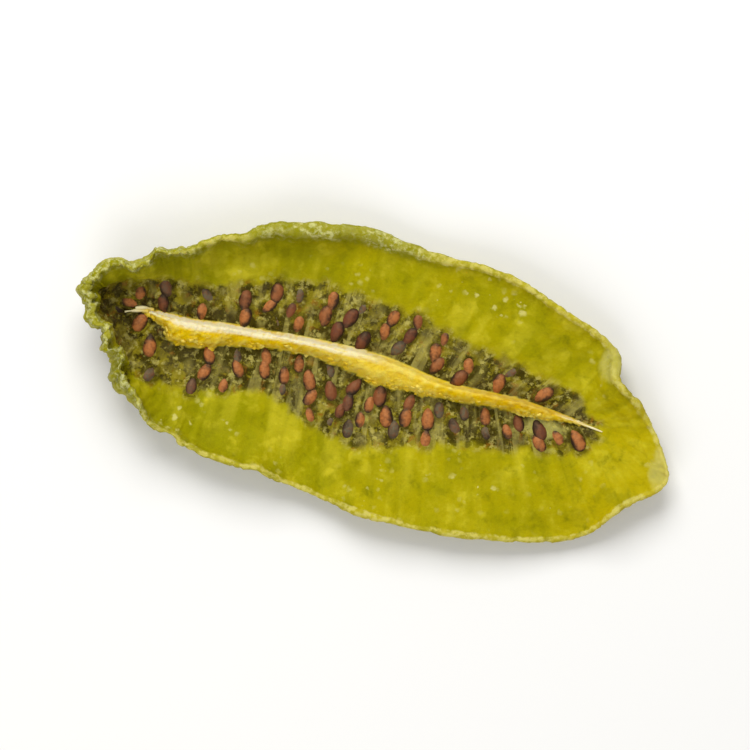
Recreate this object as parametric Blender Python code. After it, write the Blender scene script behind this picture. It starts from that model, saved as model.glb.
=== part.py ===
"""Dried kiwi slice: one lengthwise slice of the fruit, dried until its rim has curled up.

Metres, +Z up. The slice lies on the plane z = 0 with its shown side up and its long way along X:
its pointed end is at +X, and its gathered end at -X. The origin is at the middle of its bounding
box, on that plane.

The slice is a sheet ruled by rays. Each ray leaves the core line and ends at the rim, so that
the rays stand square to the core along its length and fan out round its two ends, the way the
seed pockets lie in the fruit. A place on the sheet is given by its ray, as an angle, and by its
share of the way along that ray: 0 at the core and 1 at the rim.
"""

import math
import random

import bmesh
import bpy
import numpy as np
from mathutils import Matrix, Vector

MM = 0.001
NODE_NAME = "kiwi_slice"

# Plan of the rim, anticlockwise from the pointed end, in mm.
HALF_LENGTH = 29.0
HALF_WIDTH = 13.2
RIM_POINTS = (
    (27.0, 0.8),
    (24.3, 3.9),
    (21.5, 6.1),
    (20.6, 8.5),
    (15.0, 11.0),
    (8.0, 13.0),
    (1.8, 13.0),
    (-3.8, 13.6),
    (-10.0, 12.9),
    (-18.5, 9.7),
    (-26.0, 5.6),
    (-28.9, 3.9),
    (-29.0, 1.0),
    (-25.7, -3.0),
    (-21.8, -8.0),
    (-16.5, -10.1),
    (-9.0, -10.7),
    (4.0, -12.3),
    (14.0, -11.4),
    (20.9, -9.6),
    (25.2, -5.3),
    (28.4, -2.2),
)

# Crest of the core, from the gathered end to the pointed end, in mm.
CORE_POINTS = (
    (-24.4, 1.45),
    (-20.4, 1.15),
    (-14.0, 1.65),
    (-7.0, 2.15),
    (0.6, 2.1),
    (4.9, 1.35),
    (13.5, 1.5),
    (17.0, 1.3),
    (21.4, 0.95),
)

# How the sheet rises to the rim, at stations round it, each given by its ray in degrees.
CURL_TURN = ((0, 24), (12, 30), (30, 58), (48, 42), (80, 52), (105, 66), (135, 86),
             (155, 96), (180, 100), (194, 104), (203, 145), (213, 128), (224, 78), (245, 52),
             (285, 34), (325, 26))
CURL_RADIUS = ((0, 5.5), (45, 4.2), (90, 3.2), (130, 3.0), (180, 3.2), (192, 2.8), (203, 1.5),
               (213, 1.7), (226, 3.6), (270, 4.8))
DISH_RISE = ((0, 0.8), (90, 1.3), (180, 1.2), (270, 0.8))
DISH_POWER = 2.5
GATHERED_END_LIFT = 2.2
POINTED_END_LIFT = 1.0
RIM_WAVES = ((5, 0.45, 60), (8, 0.40, 200), (13, 0.25, 20))  # waves round the rim, height, phase
PLEATS_ROUND_RIM = 27  # folds there would be if they ran all the way round
PLEAT_DEPTH = 0.36

# Thickness, as half of it above and half below the middle of the sheet.
BAND_HALF = 0.55
FLESH_HALF = 0.90
RIM_HALF = ((0, 0.30), (24, 0.34), (38, 0.55), (52, 0.36), (76, 0.34), (90, 0.62), (98, 0.75),
            (115, 0.75), (127, 0.50), (140, 0.36), (180, 0.42), (210, 0.34), (270, 0.30))
OUTER_SKIN = 0.60  # where the rim stands up, its skin lies this far outside the middle
SOLE_LEVEL = 0.60  # middle of the sheet over the table; what would lie lower is pressed flat

# The core stands up as a ridge, steep on its far side and domed on its near side.
RIDGE_HEIGHT = 1.7
RIDGE_FAR_FOOT = 0.6
RIDGE_END_FOOT = 0.35  # the far foot's share of that at the two ends, where only fibres are left
RIDGE_NEAR_FOOT = ((-24.4, 0.2), (-22.5, 0.4), (-21.0, 0.9), (-19.6, 2.1), (-18.4, 2.4),
                   (-16.5, 2.0), (-14.5, 1.5), (-12.0, 1.2), (-7.5, 1.1), (-5.3, 1.35),
                   (-3.4, 1.8), (-1.0, 2.2), (0.8, 2.2), (3.6, 1.5), (5.5, 1.1), (9.0, 0.95),
                   (13.9, 0.95), (16.0, 0.75), (18.0, 0.35), (21.4, 0.15))  # at places along X
RIDGE_FADE = 0.55  # how far from the middle it starts to sink towards the pointed end
KEEL_HEIGHT = 0.35  # of the same ridge on the underside

# Seed band: how far it reaches from the core, at stations round it.
BAND_REACH = ((0, 1.2), (25, 1.6), (42, 3.3), (54, 3.8), (62, 4.4), (79, 5.2), (92, 5.4),
              (102, 5.9), (110, 5.8), (121, 5.0), (131, 4.2), (142, 4.0), (165, 4.4), (195, 4.6),
              (215, 6.4), (228, 6.8), (238, 5.8), (246, 5.4), (252, 6.3), (258, 7.4), (264, 8.2),
              (269, 8.7), (276, 8.0), (285, 6.1), (292, 5.1), (303, 5.2), (312, 4.3), (325, 3.7),
              (334, 2.4), (345, 1.5))
BAND_EDGE = 1.4  # width of the slope from the band up to the flesh

# Seeds: teardrops, their points turned to the core, in ranks a little apart.
SEED_LENGTH = 2.1
SEED_WIDTH = 1.35
SEED_THICKNESS = 1.0
SEED_TAPER = 0.4
SEED_SUNK = 0.14
SEED_SIDES = 5
SEED_RINGS = 4
SEED_PITCH = 2.55
UNDERSIDE_PITCH = 3.1  # there more of them stay hidden in the flesh
THINNING = 0.35  # they stand this much further apart at the gathered end
FAR_THINNING = 0.2  # and this much on the ridge's far side
RANK_PITCH = 1.5
RANKS = 5
FIRST_RANK = 0.9  # from the foot of the ridge
POINTED_GAP = 0.9  # wider by this beside the pointed end of the core
LAST_RANK = 0.45  # from the edge of the band
BARE_END = 2.6  # how much less far they reach past the end of the core, into the folds
SEED_DRAW = 22

RAYS = 112
RAY_CROWDING = 0.25  # rays stand closer together round the gathered end, where the folds are
RINGS = 12
RING_SPREAD = 1.3  # rings stand closer together beside the core
LIP_TURNS = (-50, 0, 50)  # where the rounded edge of the rim has points, in degrees

FLESH_COLOUR = (0.36, 0.30, 0.012, 1.0)
FLESH_ROUGHNESS = 0.45


def smooth(low, high, value):
    share = np.clip((value - low) / (high - low), 0, 1)
    return share * share * (3 - 2 * share)


def through(at, values, place):
    """A smooth curve through the values that are given at some places, read at other places."""
    slopes = np.gradient(values, at)
    k = np.clip(np.searchsorted(at, place, side="right") - 1, 0, len(at) - 2)
    gap = at[k + 1] - at[k]
    t = (place - at[k]) / gap
    start = (1 + 2 * t) * (1 - t) ** 2 * values[k] + t * (1 - t) ** 2 * gap * slopes[k]
    end = t**2 * (3 - 2 * t) * values[k + 1] + t**2 * (t - 1) * gap * slopes[k + 1]
    return start + end


def round_the_rim(stations, angle):
    """The same, closed: the stations are pairs of degrees and value, in the order of their degrees."""
    at, values = np.array(stations, float).T
    at = np.concatenate([at[-2:] - 360, at, at[:2] + 360])
    values = np.concatenate([values[-2:], values, values[:2]])
    return through(at, values, np.degrees(angle) % 360)


def rim_stations():
    """RIM_POINTS as stations: each one's reach is its share of the ellipse that they follow."""
    stations = []
    for x, y in RIM_POINTS:
        angle = math.degrees(math.atan2(y / HALF_WIDTH, x / HALF_LENGTH)) % 360
        stations.append((angle, math.hypot(x / HALF_LENGTH, y / HALF_WIDTH)))
    return sorted(stations)


RIM_STATIONS = rim_stations()


def rim_plan(angle):
    reach = round_the_rim(RIM_STATIONS, angle)
    return HALF_LENGTH * reach * np.cos(angle), HALF_WIDTH * reach * np.sin(angle)


def core_plan(angle):
    """Point of the core line that a ray leaves from."""
    x_of, y_of = np.array(CORE_POINTS, float).T
    x = (x_of[0] + x_of[-1]) / 2 + (x_of[-1] - x_of[0]) / 2 * np.cos(angle)
    return x, through(x_of, y_of, x)


def reach_of_ray(angle):
    core_x, core_y = core_plan(angle)
    rim_x, rim_y = rim_plan(angle)
    return np.hypot(rim_x - core_x, rim_y - core_y)


def end_lift(x):
    gathered = GATHERED_END_LIFT * np.clip(-x / HALF_LENGTH, 0, None) ** 2.2
    pointed = POINTED_END_LIFT * np.clip(x / HALF_LENGTH, 0, None) ** 2.2
    return gathered + pointed


def ray_profile(angle):
    """Turn and radius of a ray's curl, and how far the ray runs level before it."""
    reach = reach_of_ray(angle)
    turn = round_the_rim(CURL_TURN, angle)
    reach = reach - OUTER_SKIN * smooth(45, 95, turn)
    turn = np.radians(turn)
    radius = np.minimum(round_the_rim(CURL_RADIUS, angle), 0.8 * reach)
    level = reach - radius * np.sin(np.minimum(turn, math.pi / 2))
    return turn, radius, level


def share_at(angle, distance):
    """Share of a ray that lies at a distance from the core, measured over the sheet."""
    turn, radius, level = ray_profile(angle)
    return distance / (level + radius * turn)


def sheet_point(angle, share):
    """Middle of the sheet, as an array of x, y and z."""
    core_x, core_y = core_plan(angle)
    rim_x, rim_y = rim_plan(angle)
    reach = reach_of_ray(angle)
    turn, radius, level = ray_profile(angle)
    gone = share * (level + radius * turn)
    turned = np.clip((gone - level) / radius, 0, None)
    out = np.minimum(gone, level) + radius * np.sin(turned)
    x = core_x + (rim_x - core_x) / reach * out
    y = core_y + (rim_y - core_y) / reach * out
    z = SOLE_LEVEL + end_lift(x) + radius * (1 - np.cos(turned))
    z = z + round_the_rim(DISH_RISE, angle) * share**DISH_POWER
    for count, height, phase in RIM_WAVES:
        z = z + height * np.cos(count * angle + math.radians(phase)) * share**4
    return np.stack([x, y, z])


def sheet_normal(angle, share):
    """Unit normal of the sheet, towards the shown side."""
    step = 1e-3
    share = np.maximum(share, step)
    along = sheet_point(angle, share + step) - sheet_point(angle, share - step)
    off_core = np.maximum(share, 0.03)
    across = sheet_point(angle + step, off_core) - sheet_point(angle - step, off_core)
    normal = np.cross(along, across, axis=0)
    normal = normal / np.linalg.norm(normal, axis=0)

    # Rays from both sides meet along the core, so there the normal depends on x alone.
    x, _ = core_plan(angle)
    slope = (end_lift(x + step) - end_lift(x - step)) / (2 * step)
    core_normal = np.stack([-slope, 0 * x, 1 + 0 * x]) / np.sqrt(1 + slope**2)
    normal = core_normal + (normal - core_normal) * smooth(0, 0.1, share)
    return normal / np.linalg.norm(normal, axis=0)


def pleat(angle, share):
    """Folds of the gathered end, drawn in like a purse and deepest at the rim."""
    gathered = smooth(0.4, 0.95, -np.cos(angle)) * smooth(0.3, 1.0, share)
    return PLEAT_DEPTH * gathered * np.sin(PLEATS_ROUND_RIM * angle + 0.8 * np.sin(4 * angle))


def core_fade(angle):
    """1 along the core, and 0 at its two ends."""
    along = np.cos(angle)
    return smooth(-1.0, -0.84, along) * (1 - smooth(RIDGE_FADE, 1.0, along))


def ridge_foot(angle):
    """How far the ridge's slope runs out from its crest."""
    x, _ = core_plan(angle)
    near = through(*np.array(RIDGE_NEAR_FOOT).T, x)
    far = RIDGE_FAR_FOOT * (RIDGE_END_FOOT + (1 - RIDGE_END_FOOT) * core_fade(angle))
    return np.where(np.sin(angle) > 0, far, near)


def ridge(angle, share):
    """Height of the core's ridge, as a share of its full height."""
    turn, radius, level = ray_profile(angle)
    distance = share * (level + radius * turn)
    along = np.cos(angle)
    uneven = 1 + 0.12 * np.cos(9 * along + 1) + 0.08 * np.cos(19 * along)
    t = distance / ridge_foot(angle)
    far = 1 - smooth(0.1, 1.0, t)
    near = np.clip(1 - t**2, 0, 1) ** 0.75
    return core_fade(angle) * uneven * np.where(np.sin(angle) > 0, far, near)


def half_thickness(angle, share):
    turn, radius, level = ray_profile(angle)
    distance = share * (level + radius * turn)
    band = round_the_rim(BAND_REACH, angle)
    inner = BAND_HALF + (FLESH_HALF - BAND_HALF) * smooth(band - 0.5, band + BAND_EDGE, distance)
    return inner + (round_the_rim(RIM_HALF, angle) - inner) * smooth(0.78, 1.0, share)


def skin_points(angle, share, side):
    """Points of the shown side (side 1) or of the underside (side -1), as rows, in mm."""
    height = RIDGE_HEIGHT if side > 0 else KEEL_HEIGHT
    offset = side * (half_thickness(angle, share) + height * ridge(angle, share))
    offset = offset + pleat(angle, share)
    points = sheet_point(angle, share) + offset * sheet_normal(angle, share)
    if side < 0:
        points[2] = np.maximum(points[2], 0)
    return points.T


def lip_points(angle, turn):
    """Points of the rim's rounded edge, which bulges out from the middle of the sheet."""
    ones = np.ones_like(angle)
    middle = sheet_point(angle, ones)
    outward = middle - sheet_point(angle, ones - 0.01)
    outward = outward / np.linalg.norm(outward, axis=0)
    normal = sheet_normal(angle, ones)
    bulge = round_the_rim(RIM_HALF, angle) * (math.cos(turn) * outward + math.sin(turn) * normal)
    return (middle + pleat(angle, ones) * normal + bulge).T


def new_object(name, bm, collection):
    mesh = bpy.data.meshes.new(name)
    bm.to_mesh(mesh)
    bm.free()
    obj = bpy.data.objects.new(name, mesh)
    collection.objects.link(obj)
    return obj


def build_sheet(collection):
    """The slice without its seeds: underside, rounded rim and shown side, lofted ring by ring."""
    bm = bmesh.new()
    even = np.arange(RAYS) / RAYS * math.tau
    angles = even + RAY_CROWDING * np.sin(even)
    shares = [(k / RINGS) ** RING_SPREAD for k in range(RINGS + 1)]
    under = [skin_points(angles, np.full(RAYS, share), -1) for share in shares]
    edge = [lip_points(angles, math.radians(turn)) for turn in LIP_TURNS]
    shown = [skin_points(angles, np.full(RAYS, share), 1) for share in reversed(shares)]
    last = None
    for points in under + edge + shown:
        ring = [bm.verts.new(point * MM) for point in points]
        if last:
            for i in range(RAYS):
                bm.faces.new((last[i - 1], last[i], ring[i], ring[i - 1]))
        last = ring
    bmesh.ops.remove_doubles(bm, verts=bm.verts, dist=0.01 * MM)
    bmesh.ops.recalc_face_normals(bm, faces=bm.faces)
    return new_object(NODE_NAME, bm, collection)


def spot(angle, distance):
    return sheet_point(angle, share_at(angle, distance))


def seed_places():
    """(angle, share, side, size, twist) of each seed: staggered ranks, one after the other."""
    draw = random.Random(SEED_DRAW)
    step = 1e-3
    places = []
    for side, pitch in ((1, SEED_PITCH), (-1, UNDERSIDE_PITCH)):
        for rank in range(RANKS):
            angle = draw.uniform(0, 0.2)
            while angle < math.tau:
                start = ridge_foot(angle) + FIRST_RANK
                start += POINTED_GAP * smooth(0.55, 0.8, math.cos(angle))
                distance = start + rank * RANK_PITCH + draw.uniform(-0.35, 0.35)
                pace = np.linalg.norm(spot(angle + step, distance) - spot(angle, distance)) / step
                size = draw.uniform(0.85, 1.12)
                twist = draw.gauss(0, 0.3)
                past_core = smooth(0.86, 0.97, -math.cos(angle))
                reach = round_the_rim(BAND_REACH, angle) - LAST_RANK - BARE_END * past_core
                if distance < reach:
                    places.append((angle, share_at(angle, distance), side, size, twist))
                thinned = 1 + THINNING * smooth(0.3, 0.8, -math.cos(angle))
                thinned += FAR_THINNING * (math.sin(angle) > 0)
                angle += pitch / pace * thinned * draw.uniform(0.65, 1.35)
    return places


def build_seed(place, number, collection):
    """One teardrop, lying along its ray and part sunk in the skin."""
    angle, share, side, size, twist = place
    at, inward, outward = (
        Vector(skin_points(np.array([angle]), np.array([share + step]), side)[0])
        for step in (0, -0.01, 0.01)
    )
    along = (outward - inward).normalized()
    normal = Vector(sheet_normal(np.array([angle]), np.array([share]))[:, 0]) * side
    across = normal.cross(along).normalized()
    normal = along.cross(across)
    frame = Matrix((along, across, normal)).transposed()
    frame = frame @ Matrix.Rotation(twist, 3, "Z")

    bm = bmesh.new()
    bmesh.ops.create_uvsphere(bm, u_segments=SEED_SIDES, v_segments=SEED_RINGS, radius=0.5)
    for vert in bm.verts:
        down, y, x = vert.co  # the sphere's poles become the seed's two ends
        narrow = 1 + SEED_TAPER * x
        shaped = Vector((x * SEED_LENGTH, y * SEED_WIDTH * narrow, -down * SEED_THICKNESS * narrow))
        vert.co = at - normal * SEED_SUNK + frame @ (shaped * size)
        vert.co.z = max(vert.co.z, 0)
        vert.co *= MM
    new_object(f"seed_{number}", bm, collection)


def fuse(body, collection):
    """Joins the seeds to the slice with one union, then removes them."""
    union = body.modifiers.new("Seeds", "BOOLEAN")
    union.operation = "UNION"
    union.operand_type = "COLLECTION"
    union.collection = collection
    graph = bpy.context.evaluated_depsgraph_get()
    fused = bpy.data.meshes.new_from_object(body.evaluated_get(graph))
    body.modifiers.clear()
    body.data = fused
    body.data.name = NODE_NAME
    for seed in list(collection.objects):
        bpy.data.objects.remove(seed, do_unlink=True)
    bpy.data.collections.remove(collection)


def flesh_material():
    material = bpy.data.materials.new("dried_flesh")
    material.use_nodes = True
    shader = material.node_tree.nodes["Principled BSDF"]
    shader.inputs["Base Color"].default_value = FLESH_COLOUR
    shader.inputs["Roughness"].default_value = FLESH_ROUGHNESS
    return material


def centre_on_origin(body):
    """Puts the middle of the bounding box over the origin, and its lowest point on z = 0."""
    corners = np.array(body.bound_box)
    low, high = corners.min(axis=0), corners.max(axis=0)
    body.data.transform(Matrix.Translation((-(low[0] + high[0]) / 2, -(low[1] + high[1]) / 2, -low[2])))


def main():
    for obj in list(bpy.data.objects):
        bpy.data.objects.remove(obj, do_unlink=True)
    kiwi = bpy.data.collections.new("dried_kiwi_slice")
    seeds = bpy.data.collections.new("seeds")
    for collection in (kiwi, seeds):
        bpy.context.scene.collection.children.link(collection)
    body = build_sheet(kiwi)
    for number, place in enumerate(seed_places()):
        build_seed(place, number, seeds)
    fuse(body, seeds)
    body.data.materials.append(flesh_material())
    body.data.shade_smooth()
    centre_on_origin(body)


main()
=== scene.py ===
import math
import random

import bpy
import numpy as np
from mathutils import Matrix, Quaternion, Vector, noise


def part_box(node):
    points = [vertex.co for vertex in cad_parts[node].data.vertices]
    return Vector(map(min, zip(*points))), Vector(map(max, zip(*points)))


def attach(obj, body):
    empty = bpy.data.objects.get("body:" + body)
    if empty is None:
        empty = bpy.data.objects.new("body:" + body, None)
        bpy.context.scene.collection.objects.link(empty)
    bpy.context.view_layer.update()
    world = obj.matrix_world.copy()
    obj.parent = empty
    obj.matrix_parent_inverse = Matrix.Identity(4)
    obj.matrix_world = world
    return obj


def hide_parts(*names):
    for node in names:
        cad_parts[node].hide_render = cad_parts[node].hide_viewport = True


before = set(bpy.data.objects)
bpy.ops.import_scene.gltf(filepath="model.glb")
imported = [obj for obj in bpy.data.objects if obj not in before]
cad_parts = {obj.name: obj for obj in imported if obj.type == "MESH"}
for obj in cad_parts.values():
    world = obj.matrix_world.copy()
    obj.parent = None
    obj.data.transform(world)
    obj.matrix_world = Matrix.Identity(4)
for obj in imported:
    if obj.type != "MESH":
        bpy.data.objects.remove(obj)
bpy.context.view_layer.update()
mm = 0.001

# The slice is a sheet ruled by rays from its core line to its rim. A place on it is a ray, given as
# an angle, and a share of the way along that ray. All of these sizes are in mm.
form = {
    "halfLength": 29.0,
    "halfWidth": 13.2,
    "rimPoints": (
        (27.0, 0.8), (24.3, 3.9), (21.5, 6.1), (20.6, 8.5), (15.0, 11.0), (8.0, 13.0),
        (1.8, 13.0), (-3.8, 13.6), (-10.0, 12.9), (-18.5, 9.7), (-26.0, 5.6), (-28.9, 3.9),
        (-29.0, 1.0), (-25.7, -3.0), (-21.8, -8.0), (-16.5, -10.1), (-9.0, -10.7), (4.0, -12.3),
        (14.0, -11.4), (20.9, -9.6), (25.2, -5.3), (28.4, -2.2),
    ),
    "corePoints": (
        (-24.4, 1.45), (-20.4, 1.15), (-14.0, 1.65), (-7.0, 2.15), (0.6, 2.1), (4.9, 1.35),
        (13.5, 1.5), (17.0, 1.3), (21.4, 0.95),
    ),
    "curlTurn": ((0, 24), (12, 30), (30, 58), (48, 42), (80, 52), (105, 66), (135, 86),
                 (155, 96), (180, 100), (194, 104), (203, 145), (213, 128), (224, 78), (245, 52),
                 (285, 34), (325, 26)),
    "curlRadius": ((0, 5.5), (45, 4.2), (90, 3.2), (130, 3.0), (180, 3.2), (192, 2.8), (203, 1.5),
                   (213, 1.7), (226, 3.6), (270, 4.8)),
    "dishRise": ((0, 0.8), (90, 1.3), (180, 1.2), (270, 0.8)),
    "dishPower": 2.5,
    "gatheredEndLift": 2.2,
    "pointedEndLift": 1.0,
    "rimWaves": ((5, 0.45, 60), (8, 0.40, 200), (13, 0.25, 20)),  # waves round, height, phase
    "pleats": ((27, 0.36, 4), (71, 0.10, 6)),  # folds if all round, depth, drift
    "pleatsFrom": (0.3, 1.0),  # shares of a ray over which the folds deepen
    "rimFrills": ((23, 0.10, 40), (37, 0.09, 150), (58, 0.06, 10), (83, 0.04, 270)),
    "frillsFrom": (0.75, 1.0),
    "leastFrill": 0.25,  # share of the frills that is left at the pointed end
    "bandHalf": 0.55,
    "fleshHalf": 0.90,
    "rimHalf": ((0, 0.30), (24, 0.34), (38, 0.55), (52, 0.36), (76, 0.34), (90, 0.62), (98, 0.75),
                (115, 0.75), (127, 0.50), (140, 0.36), (180, 0.42), (210, 0.34), (270, 0.30)),
    "outerSkin": 0.60,  # where the rim stands up, its skin lies this far outside the middle
    "soleLevel": 0.60,
    "ridgeHeight": 1.7,
    "ridgeFarFoot": 0.6,
    "ridgeNearFoot": ((-24.4, 0.2), (-22.5, 0.4), (-21.0, 0.9), (-19.6, 2.1), (-18.4, 2.4),
                      (-16.5, 2.0), (-14.5, 1.5), (-12.0, 1.2), (-7.5, 1.1), (-5.3, 1.35),
                      (-3.4, 1.8), (-1.0, 2.2), (0.8, 2.2), (3.6, 1.5), (5.5, 1.1), (9.0, 0.95),
                      (13.9, 0.95), (16.0, 0.75), (18.0, 0.35), (21.4, 0.15)),
    "ridgeEndFoot": 0.35,
    "ridgeFade": 0.55,  # where along the core it starts to sink towards the pointed end
    "ridgeRagged": ((1.5, 0.20), (0.6, 0.16)),  # pitch and share of its foot
    "ridgeRoundness": 0.75,  # of its near slope: below 1 it swells
    "keelHeight": 0.35,
    "bandReach": ((0, 1.2), (25, 1.6), (42, 3.3), (54, 3.8), (62, 4.4), (79, 5.2), (92, 5.4),
                  (102, 5.9), (110, 5.8), (121, 5.0), (131, 4.2), (142, 4.0), (165, 4.4),
                  (195, 4.6), (215, 6.4), (228, 6.8), (238, 5.8), (246, 5.4), (252, 6.3),
                  (258, 7.4), (264, 8.2), (269, 8.7), (276, 8.0), (285, 6.1), (292, 5.1),
                  (303, 5.2), (312, 4.3), (325, 3.7), (334, 2.4), (345, 1.5)),
    "bandEdge": 1.4,
}

seedRule = {  # the same rule, and the same draw, as in the solid
    "length": 2.1,
    "width": 1.3,
    "thickness": 1.0,
    "sunk": 0.14,
    "sizes": (0.85, 1.12),
    "twist": 0.3,  # radians that they stray from their ray
    "jitter": 0.35,
    "pitch": 2.55,
    "undersidePitch": 3.1,
    "thinning": 0.35,  # they stand this much further apart at the gathered end
    "farThinning": 0.2,  # and this much on the ridge's far side
    "gaps": (0.65, 1.35),  # shares of the pitch
    "rankPitch": 1.5,
    "ranks": 5,
    "firstRank": 0.9,
    "pointedGap": 0.9,
    "lastRank": 0.45,
    "bareEnd": 2.6,
    "draw": 22,
}


def smooth(low, high, value):
    share = np.clip((value - low) / (high - low), 0, 1)
    return share * share * (3 - 2 * share)


def through(at, values, place):  # a smooth curve through values, read at any place
    slopes = np.gradient(values, at)
    k = np.clip(np.searchsorted(at, place, side="right") - 1, 0, len(at) - 2)
    gap = at[k + 1] - at[k]
    t = (place - at[k]) / gap
    start = (1 + 2 * t) * (1 - t) ** 2 * values[k] + t * (1 - t) ** 2 * gap * slopes[k]
    end = t**2 * (3 - 2 * t) * values[k + 1] + t**2 * (t - 1) * gap * slopes[k + 1]
    return start + end


def roundTheRim(stations, angle):  # the same, closed, with stations in degrees
    at, values = np.array(stations, float).T
    at = np.concatenate([at[-2:] - 360, at, at[:2] + 360])
    values = np.concatenate([values[-2:], values, values[:2]])
    return through(at, values, np.degrees(angle) % 360)


def rimStations():
    stations = []
    for x, y in form["rimPoints"]:
        flatX, flatY = x / form["halfLength"], y / form["halfWidth"]
        stations.append((math.degrees(math.atan2(flatY, flatX)) % 360, math.hypot(flatX, flatY)))
    return sorted(stations)


form["rimStations"] = rimStations()


def waves(table, angle):
    return sum(height * np.cos(count * angle + math.radians(phase))
               for count, height, phase in table)


def rimPlan(angle):
    reach = roundTheRim(form["rimStations"], angle)
    return form["halfLength"] * reach * np.cos(angle), form["halfWidth"] * reach * np.sin(angle)


def corePlan(angle):
    xOf, yOf = np.array(form["corePoints"], float).T
    x = (xOf[0] + xOf[-1]) / 2 + (xOf[-1] - xOf[0]) / 2 * np.cos(angle)
    return x, through(xOf, yOf, x)


def reachOfRay(angle):
    coreX, coreY = corePlan(angle)
    rimX, rimY = rimPlan(angle)
    return np.hypot(rimX - coreX, rimY - coreY)


def endLift(x):
    gathered = form["gatheredEndLift"] * np.clip(-x / form["halfLength"], 0, None) ** 2.2
    pointed = form["pointedEndLift"] * np.clip(x / form["halfLength"], 0, None) ** 2.2
    return gathered + pointed


def rayProfile(angle):
    reach = reachOfRay(angle)
    turn = roundTheRim(form["curlTurn"], angle)
    reach = reach - form["outerSkin"] * smooth(45, 95, turn)
    turn = np.radians(turn)
    radius = np.minimum(roundTheRim(form["curlRadius"], angle), 0.8 * reach)
    level = reach - radius * np.sin(np.minimum(turn, math.pi / 2))
    return turn, radius, level


def rayLength(angle):
    turn, radius, level = rayProfile(angle)
    return level + radius * turn


def sheetPoint(angle, share):
    coreX, coreY = corePlan(angle)
    rimX, rimY = rimPlan(angle)
    reach = reachOfRay(angle)
    turn, radius, level = rayProfile(angle)
    gone = share * (level + radius * turn)
    turned = np.clip((gone - level) / radius, 0, None)
    out = np.minimum(gone, level) + radius * np.sin(turned)
    x = coreX + (rimX - coreX) / reach * out
    y = coreY + (rimY - coreY) / reach * out
    z = form["soleLevel"] + endLift(x) + radius * (1 - np.cos(turned))
    z = z + roundTheRim(form["dishRise"], angle) * share ** form["dishPower"]
    z = z + waves(form["rimWaves"], angle) * share**4
    return np.stack([x, y, z])


def sheetNormal(angle, share):
    step = 1e-3
    share = np.maximum(share, step)
    along = sheetPoint(angle, share + step) - sheetPoint(angle, share - step)
    offCore = np.maximum(share, 0.03)
    across = sheetPoint(angle + step, offCore) - sheetPoint(angle - step, offCore)
    normal = np.cross(along, across, axis=0)
    normal = normal / np.linalg.norm(normal, axis=0)
    x, _ = corePlan(angle)  # rays from both sides meet along the core, so there x alone counts
    slope = (endLift(x + step) - endLift(x - step)) / (2 * step)
    coreNormal = np.stack([-slope, 0 * x, 1 + 0 * x]) / np.sqrt(1 + slope**2)
    normal = coreNormal + (normal - coreNormal) * smooth(0, 0.1, share)
    return normal / np.linalg.norm(normal, axis=0)


def pleat(angle, share):
    towardsFold = -np.cos(angle)
    gathered = smooth(0.4, 0.95, towardsFold) * smooth(*form["pleatsFrom"], share)
    folds = sum(depth * np.sin(count * angle + 0.8 * np.sin(drift * angle))
                for count, depth, drift in form["pleats"])
    least = form["leastFrill"]
    frilled = least + (1 - least) * smooth(-0.4, 0.6, towardsFold)
    frills = frilled * waves(form["rimFrills"], angle)
    return gathered * folds + frills * smooth(*form["frillsFrom"], share)


def grain(points, pitch, shift=0.0):  # soft noise from about -1 to 1, at each point
    move = Vector((shift, 0.0, 0.0))
    return np.array([noise.noise(Vector(point) / pitch + move) for point in points])


def coreFade(angle):
    along = np.cos(angle)
    return smooth(-1.0, -0.84, along) * (1 - smooth(form["ridgeFade"], 1.0, along))


def ridgeFoot(angle):
    x, _ = corePlan(angle)
    near = through(*np.array(form["ridgeNearFoot"]).T, x)
    far = form["ridgeEndFoot"] + (1 - form["ridgeEndFoot"]) * coreFade(angle)
    return np.where(np.sin(angle) > 0, form["ridgeFarFoot"] * far, near)


def raggedFoot(angle):
    x, y = corePlan(angle)
    own = np.stack([x, y + 20 * np.sign(np.sin(angle)), 0 * x], axis=-1)
    ragged = sum(depth * grain(own, pitch) for pitch, depth in form["ridgeRagged"])
    return ridgeFoot(angle) * (1 + ragged * np.where(np.sin(angle) > 0, 0.6, 1.0))


def ridge(angle, distance):
    along = np.cos(angle)
    uneven = 1 + 0.12 * np.cos(9 * along + 1) + 0.08 * np.cos(19 * along)
    t = distance / raggedFoot(angle)
    far = 1 - smooth(0.1, 1.0, t)
    near = np.clip(1 - t**2, 0, 1) ** form["ridgeRoundness"]
    return coreFade(angle) * uneven * np.where(np.sin(angle) > 0, far, near)


def halfThickness(angle, share):
    distance = share * rayLength(angle)
    band = roundTheRim(form["bandReach"], angle)
    inFlesh = smooth(band - 0.5, band + form["bandEdge"], distance)
    inner = form["bandHalf"] + (form["fleshHalf"] - form["bandHalf"]) * inFlesh
    return inner + (roundTheRim(form["rimHalf"], angle) - inner) * smooth(0.78, 1.0, share)


def skinPoints(angle, share, side):
    height = form["ridgeHeight"] if side > 0 else form["keelHeight"]
    offset = side * (halfThickness(angle, share) + height * ridge(angle, share * rayLength(angle)))
    offset = offset + pleat(angle, share)
    points = sheetPoint(angle, share) + offset * sheetNormal(angle, share)
    if side < 0:
        points[2] = np.maximum(points[2], 0)
    return points.T


def lipPoints(angle, turn):
    ones = np.ones_like(angle)
    middle = sheetPoint(angle, ones)
    outward = middle - sheetPoint(angle, ones - 0.01)
    outward = outward / np.linalg.norm(outward, axis=0)
    normal = sheetNormal(angle, ones)
    half = roundTheRim(form["rimHalf"], angle)
    bulge = half * (math.cos(turn) * outward + math.sin(turn) * normal)
    return (middle + pleat(angle, ones) * normal + bulge).T


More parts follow.
